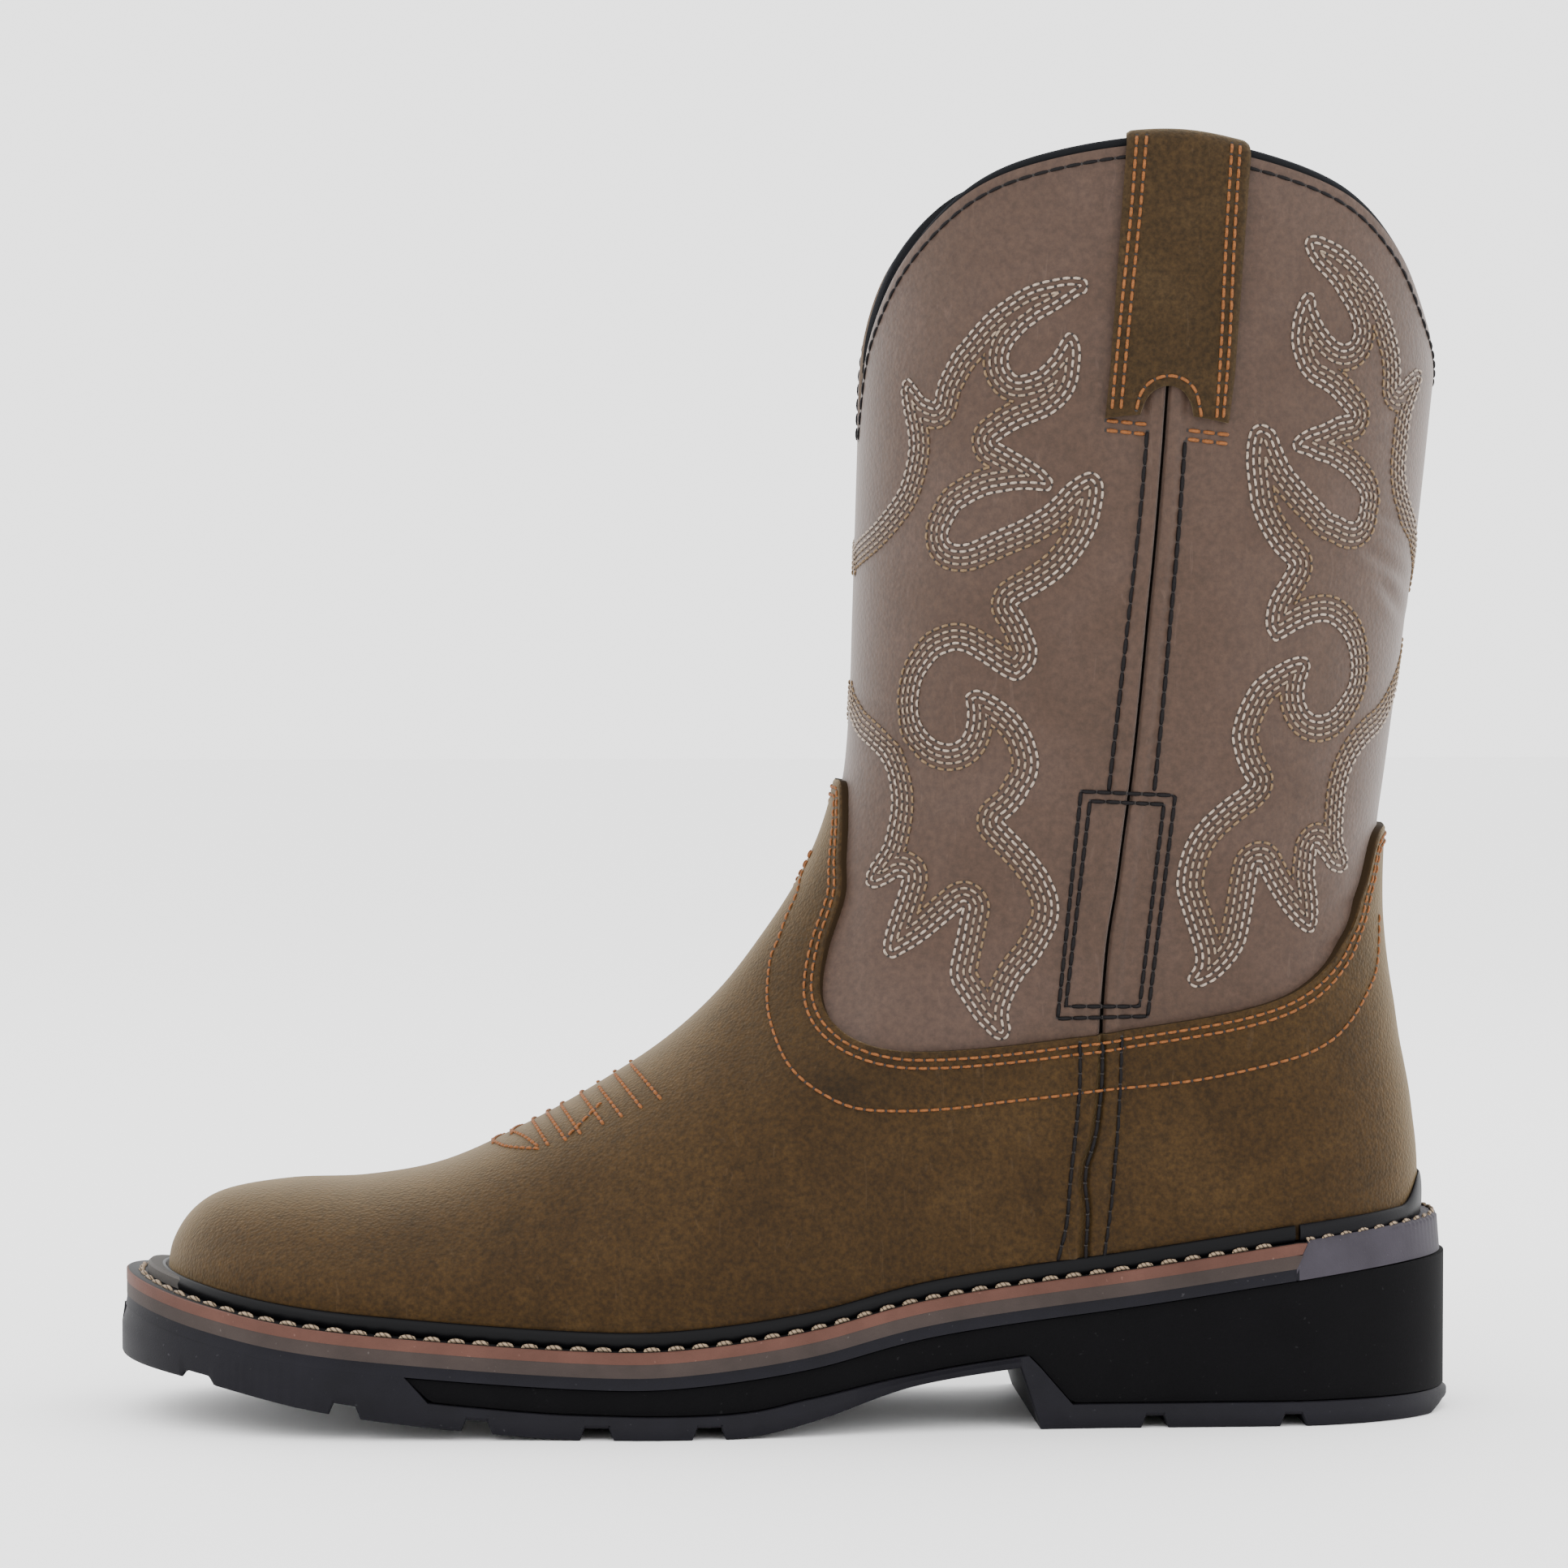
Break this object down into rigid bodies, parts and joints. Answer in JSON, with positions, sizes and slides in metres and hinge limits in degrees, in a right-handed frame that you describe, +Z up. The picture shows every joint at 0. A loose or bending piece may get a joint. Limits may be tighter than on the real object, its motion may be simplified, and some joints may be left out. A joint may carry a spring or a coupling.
{
  "type": "western work boot",
  "caption": "Tall pull-on work boot with a rounded toe, dipped collar, overlaid vamp and counter, pull straps, banded welt and a lugged sole with a low block heel.",
  "frame": {"origin": "on the floor, in the middle of the heel's flat bottom face, between its two cross grooves", "axes": "toe towards -X, heel towards +X, outer side towards -Y, inner side towards +Y, +Z up"},
  "size_m": [0.312, 0.113, 0.3003],
  "materials": {
    "shaft_leather": "fine grain, semi-matt, grey-brown",
    "foot_leather": "oiled nubuck, matt and mottled, olive brown",
    "strap_leather": "matt nubuck, dark olive brown",
    "rand_rubber": "smooth, slight sheen, black",
    "welt_rubber": "matt, fine milled edge, rust brown",
    "midsole_rubber": "matt, grey brown",
    "frame_rubber": "matt, dark slate grey",
    "core_foam": "matt, black",
    "tread_rubber": "matt, dark slate grey",
    "insole_board": "matt fabric cover, dark brown"
  },
  "bodies": {
    "root": {"outsole": "tread_rubber", "sole_core": "core_foam", "sole_frame": "frame_rubber", "midsole": "midsole_rubber", "welt": "welt_rubber", "insole": "insole_board", "upper": "shaft_leather", "vamp": "foot_leather", "counter": "foot_leather", "rand": "rand_rubber", "heel_rand": "rand_rubber", "pull_strap_outer": "strap_leather", "pull_strap_inner": "strap_leather"}
  },
  "joints": []
}
